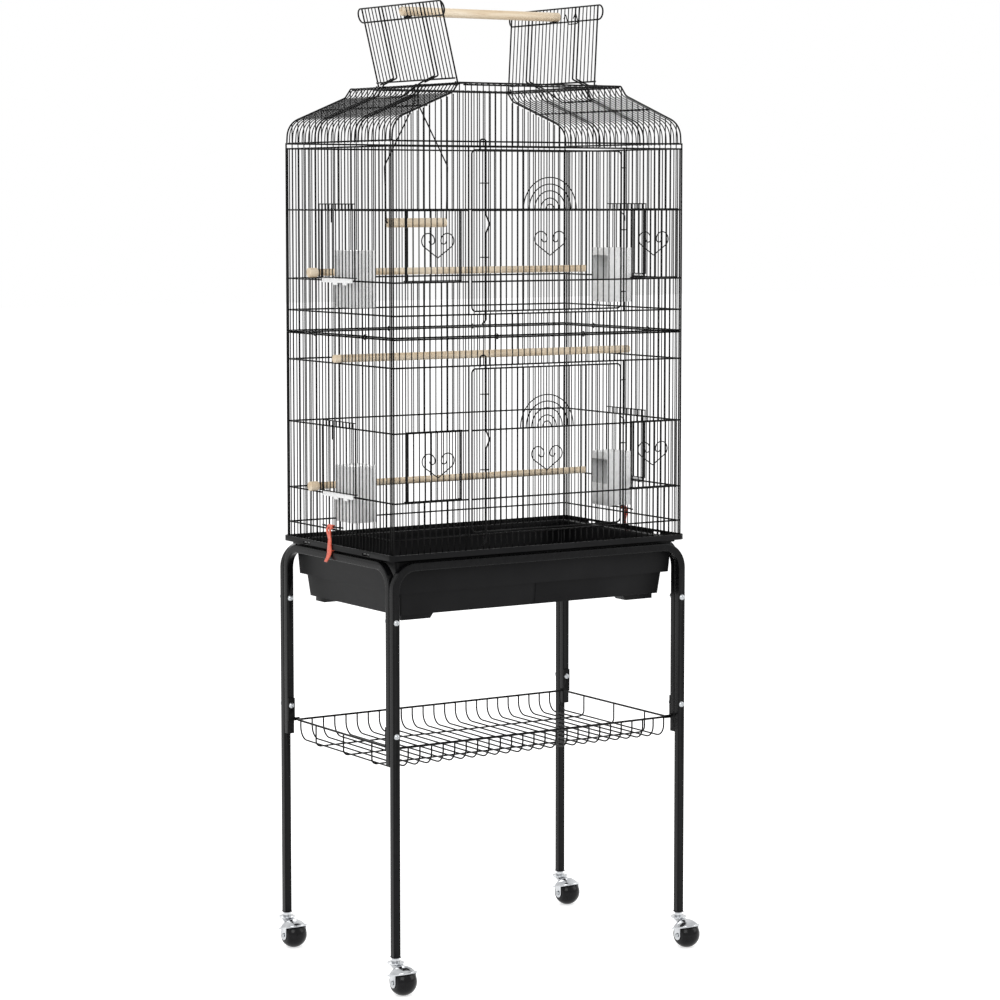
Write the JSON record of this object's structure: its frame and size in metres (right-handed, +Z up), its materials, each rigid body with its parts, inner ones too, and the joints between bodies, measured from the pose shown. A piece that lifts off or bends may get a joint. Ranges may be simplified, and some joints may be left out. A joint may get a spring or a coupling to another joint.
{
  "type": "bird cage on stand",
  "caption": "Tall two-storey wire bird cage with an open roof hatch, on a wheeled tube stand with a deep tray and a wire basket",
  "frame": {"origin": "on the floor, under the middle of the box of the part at rest", "axes": "+Z up, +X to the right seen from the doors, -Y to the front with the doors"},
  "size_m": [0.6746, 0.466, 1.7553],
  "materials": {
    "black_wire": "satin",
    "black_tube": "semi-gloss",
    "tray_plastic": "fine grain",
    "black_plastic": "satin",
    "ball_plastic": "gloss",
    "bright_chrome": "polished",
    "zinc_steel": "zinc plated",
    "cup_plastic": "satin, slightly clear",
    "clip_plastic": "satin",
    "light_wood": "sanded, unvarnished"
  },
  "bodies": {
    "cage": {"front_stand_frame": "black_tube", "back_stand_frame": "black_tube", "left_stand_frame": "black_tube", "right_stand_frame": "black_tube", "stand_bolts": "zinc_steel", "stand_nuts": "zinc_steel", "storage_basket": "black_wire", "caster_plugs": "black_plastic", "base_tray": "tray_plastic", "front_lower_wall": "black_wire", "back_lower_wall": "black_wire", "left_lower_wall": "black_wire", "right_lower_wall": "black_wire", "front_upper_wall": "black_wire", "back_upper_wall": "black_wire", "left_upper_wall": "black_wire", "right_upper_wall": "black_wire", "wall_hooks": "black_wire", "left_roof_slope": "black_wire", "right_roof_slope": "black_wire", "roof_frame": "black_wire", "upper_left_cup": "cup_plastic", "upper_right_cup": "cup_plastic", "upper_perch": "light_wood", "lower_left_cup": "cup_plastic", "lower_right_cup": "cup_plastic", "lower_perch": "light_wood", "middle_perch": "light_wood"},
    "front_left_caster": {"front_left_caster_hood": "bright_chrome", "front_left_caster_axle": "zinc_steel"},
    "front_left_ball": {"front_left_caster_ball": "ball_plastic"},
    "front_right_caster": {"front_right_caster_hood": "bright_chrome", "front_right_caster_axle": "zinc_steel"},
    "front_right_ball": {"front_right_caster_ball": "ball_plastic"},
    "back_left_caster": {"back_left_caster_hood": "bright_chrome", "back_left_caster_axle": "zinc_steel"},
    "back_left_ball": {"back_left_caster_ball": "ball_plastic"},
    "back_right_caster": {"back_right_caster_hood": "bright_chrome", "back_right_caster_axle": "zinc_steel"},
    "back_right_ball": {"back_right_caster_ball": "ball_plastic"},
    "upper_door": {"upper_main_door": "black_wire"},
    "upper_latch": {"upper_door_latch": "black_wire"},
    "lower_door": {"lower_main_door": "black_wire"},
    "lower_latch": {"lower_door_latch": "black_wire"},
    "upper_left_small": {"upper_left_small_door": "black_wire"},
    "upper_left_feeder": {"upper_left_feeder_door": "black_wire"},
    "upper_right_small": {"upper_right_small_door": "black_wire"},
    "upper_right_feeder": {"upper_right_feeder_door": "black_wire"},
    "lower_left_small": {"lower_left_small_door": "black_wire"},
    "lower_left_feeder": {"lower_left_feeder_door": "black_wire"},
    "lower_right_small": {"lower_right_small_door": "black_wire"},
    "lower_right_feeder": {"lower_right_feeder_door": "black_wire"},
    "left_flap": {"left_roof_flap": "black_wire"},
    "right_flap": {"right_roof_flap": "black_wire"},
    "top_perch": {"roof_perch": "light_wood"},
    "swing": {"swing_wire": "black_wire", "swing_perch": "light_wood"},
    "left_clip": {"left_tray_clip": "clip_plastic"},
    "right_clip": {"right_tray_clip": "clip_plastic"}
  },
  "joints": [
    {"name": "front_left_swivel", "type": "hinge", "parent": "cage", "child": "front_left_caster", "pos_m": [-0.31, -0.182, 0.061], "axis": [0, 0, 1], "continuous": true},
    {"name": "front_left_roll", "type": "hinge", "parent": "front_left_caster", "child": "front_left_ball", "pos_m": [-0.31, -0.208, 0.025], "axis": [1, 0, 0], "continuous": true},
    {"name": "front_right_swivel", "type": "hinge", "parent": "cage", "child": "front_right_caster", "pos_m": [0.31, -0.182, 0.061], "axis": [0, 0, 1], "continuous": true},
    {"name": "front_right_roll", "type": "hinge", "parent": "front_right_caster", "child": "front_right_ball", "pos_m": [0.31, -0.208, 0.025], "axis": [1, 0, 0], "continuous": true},
    {"name": "back_left_swivel", "type": "hinge", "parent": "cage", "child": "back_left_caster", "pos_m": [-0.31, 0.218, 0.061], "axis": [0, 0, 1], "continuous": true},
    {"name": "back_left_roll", "type": "hinge", "parent": "back_left_caster", "child": "back_left_ball", "pos_m": [-0.31, 0.192, 0.025], "axis": [1, 0, 0], "continuous": true},
    {"name": "back_right_swivel", "type": "hinge", "parent": "cage", "child": "back_right_caster", "pos_m": [0.31, 0.218, 0.061], "axis": [0, 0, 1], "continuous": true},
    {"name": "back_right_roll", "type": "hinge", "parent": "back_right_caster", "child": "back_right_ball", "pos_m": [0.31, 0.192, 0.025], "axis": [1, 0, 0], "continuous": true},
    {"name": "upper_door_hinge", "type": "hinge", "parent": "cage", "child": "upper_door", "pos_m": [0.1815, -0.1785, 1.345], "axis": [0, 0, 1], "range_deg": [0, 110]},
    {"name": "upper_latch_lift", "type": "slide", "parent": "upper_door", "child": "upper_latch", "axis": [0, 0, 1], "range_m": [0, 0.015]},
    {"name": "lower_door_hinge", "type": "hinge", "parent": "cage", "child": "lower_door", "pos_m": [0.1815, -0.1785, 0.95475], "axis": [0, 0, 1], "range_deg": [0, 110]},
    {"name": "lower_latch_lift", "type": "slide", "parent": "lower_door", "child": "lower_latch", "axis": [0, 0, 1], "range_m": [0, 0.015]},
    {"name": "upper_left_small_door_lift", "type": "slide", "parent": "cage", "child": "upper_left_small", "axis": [0, 0, 1], "range_m": [0, 0.11]},
    {"name": "upper_left_feeder_door_lift", "type": "slide", "parent": "cage", "child": "upper_left_feeder", "axis": [0, 0, 1], "range_m": [0, 0.11]},
    {"name": "upper_right_small_door_lift", "type": "slide", "parent": "cage", "child": "upper_right_small", "axis": [0, 0, 1], "range_m": [0, 0.11]},
    {"name": "upper_right_feeder_door_lift", "type": "slide", "parent": "cage", "child": "upper_right_feeder", "axis": [0, 0, 1], "range_m": [0, 0.11]},
    {"name": "lower_left_small_door_lift", "type": "slide", "parent": "cage", "child": "lower_left_small", "axis": [0, 0, 1], "range_m": [0, 0.11]},
    {"name": "lower_left_feeder_door_lift", "type": "slide", "parent": "cage", "child": "lower_left_feeder", "axis": [0, 0, 1], "range_m": [0, 0.1]},
    {"name": "lower_right_small_door_lift", "type": "slide", "parent": "cage", "child": "lower_right_small", "axis": [0, 0, 1], "range_m": [0, 0.11]},
    {"name": "lower_right_feeder_door_lift", "type": "slide", "parent": "cage", "child": "lower_right_feeder", "axis": [0, 0, 1], "range_m": [0, 0.1]},
    {"name": "left_flap_hinge", "type": "hinge", "parent": "cage", "child": "left_flap", "pos_m": [-0.1485, 0.014, 1.605], "axis": [0, 1, 0], "range_deg": [0, 101]},
    {"name": "right_flap_hinge", "type": "hinge", "parent": "cage", "child": "right_flap", "pos_m": [0.1515, 0.014, 1.605], "axis": [0, -1, 0], "range_deg": [0, 91]},
    {"name": "roof_perch_lift", "type": "slide", "parent": "cage", "child": "top_perch", "axis": [0, 0, 1], "range_m": [0, 0.71]},
    {"name": "swing_hinge", "type": "hinge", "parent": "cage", "child": "swing", "pos_m": [-0.1485, 0.008, 1.605], "axis": [0, 1, 0], "range_deg": [-20, 20]},
    {"name": "left_clip_hinge", "type": "hinge", "parent": "cage", "child": "left_clip", "pos_m": [-0.315, 0.034, 0.81], "axis": [0, 1, 0], "range_deg": [0, 60]},
    {"name": "right_clip_hinge", "type": "hinge", "parent": "cage", "child": "right_clip", "pos_m": [0.318, 0.014, 0.81], "axis": [0, -1, 0], "range_deg": [0, 60]}
  ],
  "couplings": [
    {"joint": "right_flap_hinge", "follows": "left_flap_hinge", "ratio": 0.9},
    {"joint": "roof_perch_lift", "follows": "left_flap_hinge", "m_per_rad": 0.4}
  ]
}
